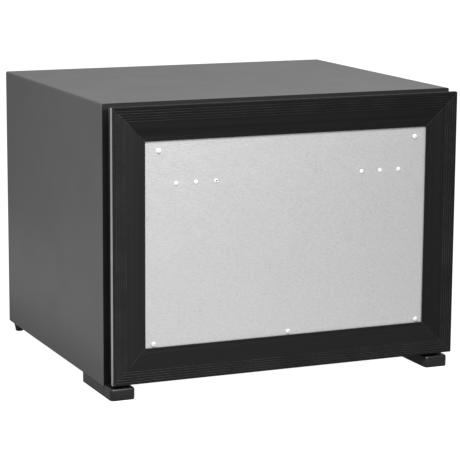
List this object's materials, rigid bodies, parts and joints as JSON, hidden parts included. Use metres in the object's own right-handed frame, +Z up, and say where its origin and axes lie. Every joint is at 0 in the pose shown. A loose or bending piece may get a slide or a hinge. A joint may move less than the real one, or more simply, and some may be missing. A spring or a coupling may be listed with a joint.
{
  "type": "drawer minibar",
  "caption": "Insulated drawer minibar: black steel cabinet on feet, full-height drawer on telescopic runners with a framed sheet front for a furniture panel, absorption cooling unit behind.",
  "frame": {"origin": "on the floor, below the middle of the whole object", "axes": "+X to the right seen from the drawer front, +Y to the back, +Z up"},
  "size_m": [0.58, 0.505, 0.4425],
  "materials": {
    "black_paint": "satin black powder coat",
    "black_profile": "black anodised, satin",
    "black_plastic": "moulded, slightly grained",
    "gasket_grey": "soft matt",
    "bare_sheet": "galvanised, finely patterned",
    "zinc": "galvanised",
    "bright_zinc": "bright zinc plating",
    "chrome": "polished",
    "foam": "rigid polyurethane foam",
    "white_plastic": "satin white",
    "grey_plastic": "satin grey",
    "clear_plastic": "clear, polished",
    "aluminium": "plain",
    "unit_paint": "matt black",
    "mineral_wool": "loose wool"
  },
  "bodies": {
    "cabinet": {"absorber_coil": "unit_paint", "absorber_vessel": "unit_paint", "base_plate": "zinc", "boiler_casing": "zinc", "boiler_tube": "unit_paint", "boiler_wool": "mineral_wool", "cabinet_foam": "foam", "condenser": "unit_paint", "control_box": "black_plastic", "control_lid": "black_plastic", "control_pod": "white_plastic", "drain_tube": "grey_plastic", "drip_tray": "white_plastic", "evaporation_dish": "black_plastic", "evaporator": "aluminium", "evaporator_plug": "foam", "front_foot_left": "black_plastic", "front_foot_right": "black_plastic", "gas_exchanger": "unit_paint", "heater_cartridge": "zinc", "inner_liner": "white_plastic", "lamp_lens": "clear_plastic", "liquid_exchanger": "unit_paint", "outer_case": "black_paint", "power_inlet": "black_plastic", "rear_foot_left": "black_plastic", "rear_foot_right": "black_plastic", "rear_plate": "zinc", "runner_outer_left": "zinc", "runner_outer_right": "zinc", "unit_bracket_lower": "zinc", "unit_bracket_upper": "zinc"},
    "drawer": {"frame_top": "black_profile", "frame_bottom": "black_profile", "frame_left": "black_profile", "frame_right": "black_profile", "front_sheet": "bare_sheet", "front_foam": "foam", "front_inner_panel": "white_plastic", "gasket": "gasket_grey", "panel_plate_left": "bright_zinc", "panel_plate_right": "bright_zinc", "drawer_bin": "grey_plastic", "divider_left": "clear_plastic", "divider_right": "clear_plastic", "bottle_rail": "chrome", "runner_inner_left": "zinc", "runner_inner_right": "zinc", "sheet_screw_1": "bright_zinc", "sheet_screw_2": "bright_zinc", "sheet_screw_3": "bright_zinc", "sheet_screw_4": "bright_zinc", "sheet_screw_5": "bright_zinc"},
    "middle_left": {"runner_middle_left": "zinc"},
    "outer_cage_left": {"cage_outer_left": "bright_zinc"},
    "inner_cage_left": {"cage_inner_left": "bright_zinc"},
    "middle_right": {"runner_middle_right": "zinc"},
    "outer_cage_right": {"cage_outer_right": "bright_zinc"},
    "inner_cage_right": {"cage_inner_right": "bright_zinc"},
    "knob": {"thermostat_knob": "black_plastic"}
  },
  "joints": [
    {"name": "drawer_slide", "type": "slide", "parent": "cabinet", "child": "drawer", "axis": [0, -1, 0], "range_m": [0, 0.28]},
    {"name": "middle_slide_left", "type": "slide", "parent": "cabinet", "child": "middle_left", "axis": [0, -1, 0], "range_m": [0, 0.14]},
    {"name": "outer_cage_slide_left", "type": "slide", "parent": "cabinet", "child": "outer_cage_left", "axis": [0, -1, 0], "range_m": [0, 0.07]},
    {"name": "inner_cage_slide_left", "type": "slide", "parent": "cabinet", "child": "inner_cage_left", "axis": [0, -1, 0], "range_m": [0, 0.21]},
    {"name": "middle_slide_right", "type": "slide", "parent": "cabinet", "child": "middle_right", "axis": [0, -1, 0], "range_m": [0, 0.14]},
    {"name": "outer_cage_slide_right", "type": "slide", "parent": "cabinet", "child": "outer_cage_right", "axis": [0, -1, 0], "range_m": [0, 0.07]},
    {"name": "inner_cage_slide_right", "type": "slide", "parent": "cabinet", "child": "inner_cage_right", "axis": [0, -1, 0], "range_m": [0, 0.21]},
    {"name": "knob_turn", "type": "hinge", "parent": "cabinet", "child": "knob", "pos_m": [0.202, -0.1978, 0.3932], "axis": [0, 1, 0], "range_deg": [0, 270]}
  ],
  "couplings": [
    {"joint": "middle_slide_left", "follows": "drawer_slide", "ratio": 0.5},
    {"joint": "outer_cage_slide_left", "follows": "drawer_slide", "ratio": 0.25},
    {"joint": "inner_cage_slide_left", "follows": "drawer_slide", "ratio": 0.75},
    {"joint": "middle_slide_right", "follows": "drawer_slide", "ratio": 0.5},
    {"joint": "outer_cage_slide_right", "follows": "drawer_slide", "ratio": 0.25},
    {"joint": "inner_cage_slide_right", "follows": "drawer_slide", "ratio": 0.75}
  ]
}
